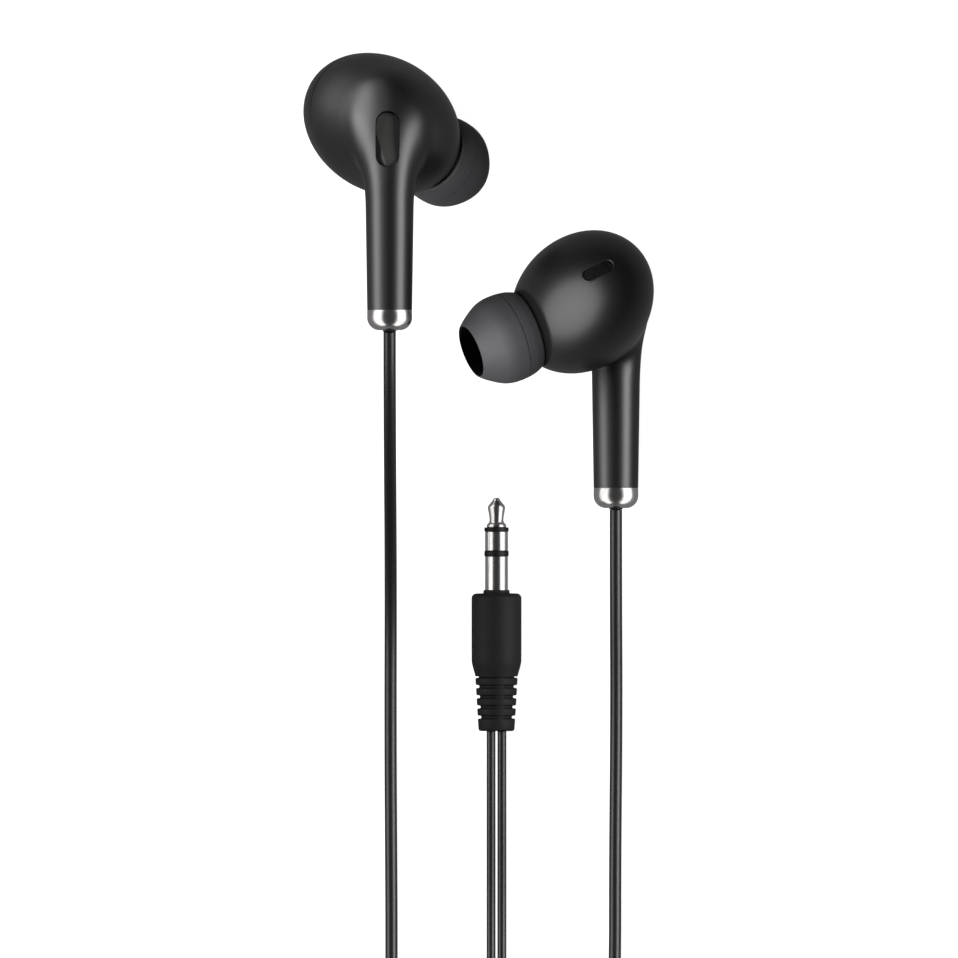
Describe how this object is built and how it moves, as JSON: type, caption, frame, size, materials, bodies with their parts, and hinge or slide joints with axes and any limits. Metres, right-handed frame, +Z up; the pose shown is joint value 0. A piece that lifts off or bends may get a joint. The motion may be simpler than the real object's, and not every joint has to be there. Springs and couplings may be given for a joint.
{
  "type": "wired earphones",
  "caption": "Wired in-ear earphones with stemmed earpieces, soft silicone ear tips, metal stem caps, twin-strand cord and a straight jack plug.",
  "frame": {"origin": "middle of the two earpieces' footprint, on the surface that they lie on", "axes": "+Z up from the table, +Y along the stems towards the ear ends, +X to the right seen from above; the cords leave towards -Y"},
  "size_m": [0.0508, 0.1923, 0.0275],
  "materials": {
    "shell_black": "satin",
    "inlay_grey": "matte",
    "mesh_black": "fine mesh",
    "silicone_grey": "matte silicone",
    "inner_plastic": "plain",
    "steel": "plain",
    "magnet": "nickel plate",
    "cone_film": "thin film",
    "board": "coated",
    "chrome": "polished",
    "rubber_black": "matte",
    "cord_black": "satin",
    "insulator_dark": "gloss",
    "soft_black": "matte"
  },
  "bodies": {
    "root": {"cord_hank": "cord_black", "cord_left": "cord_black", "cord_right": "cord_black", "cord_tie": "rubber_black", "left_cord_grommet": "rubber_black", "left_cord_knot": "cord_black", "left_driver_basket": "inner_plastic", "left_driver_cover": "steel", "left_driver_magnet": "magnet", "left_driver_top_plate": "steel", "left_driver_yoke": "steel", "left_end_cap": "chrome", "left_inner_lead": "cord_black", "left_inner_shell": "shell_black", "left_nozzle_mesh": "mesh_black", "left_outer_shell": "shell_black", "left_slot_inlay": "inlay_grey", "left_terminal_board": "board", "left_vent_mesh": "mesh_black", "plug_front_insulator": "insulator_dark", "plug_inner_mould": "inner_plastic", "plug_overmould": "soft_black", "plug_rear_insulator": "insulator_dark", "plug_ring_contact": "chrome", "plug_sleeve_contact": "chrome", "plug_tip_contact": "chrome", "right_cord_grommet": "rubber_black", "right_cord_knot": "cord_black", "right_driver_basket": "inner_plastic", "right_driver_cover": "steel", "right_driver_magnet": "magnet", "right_driver_top_plate": "steel", "right_driver_yoke": "steel", "right_end_cap": "chrome", "right_inner_lead": "cord_black", "right_inner_shell": "shell_black", "right_nozzle_mesh": "mesh_black", "right_outer_shell": "shell_black", "right_slot_inlay": "inlay_grey", "right_terminal_board": "board", "right_vent_mesh": "mesh_black", "strand_left": "cord_black", "strand_right": "cord_black", "y_splitter": "soft_black"},
    "left_tip": {"left_ear_tip": "silicone_grey"},
    "right_tip": {"right_ear_tip": "silicone_grey"},
    "left_cone": {"left_driver_cone": "cone_film"},
    "right_cone": {"right_driver_cone": "cone_film"}
  },
  "joints": [
    {"name": "left_ear_tip_pull", "type": "slide", "parent": "root", "child": "left_tip", "axis": [0.5737, -0.3404, -0.745], "range_m": [0, 0.009]},
    {"name": "left_cone_stroke", "type": "slide", "parent": "root", "child": "left_cone", "axis": [0.5737, -0.3404, -0.745], "range_m": [-0.0002, 0.0002], "stiffness_N_per_m": 20},
    {"name": "right_ear_tip_pull", "type": "slide", "parent": "root", "child": "right_tip", "axis": [-0.8896, -0.3404, 0.3046], "range_m": [0, 0.009]},
    {"name": "right_cone_stroke", "type": "slide", "parent": "root", "child": "right_cone", "axis": [-0.8896, -0.3404, 0.3046], "range_m": [-0.0002, 0.0002], "stiffness_N_per_m": 20}
  ]
}
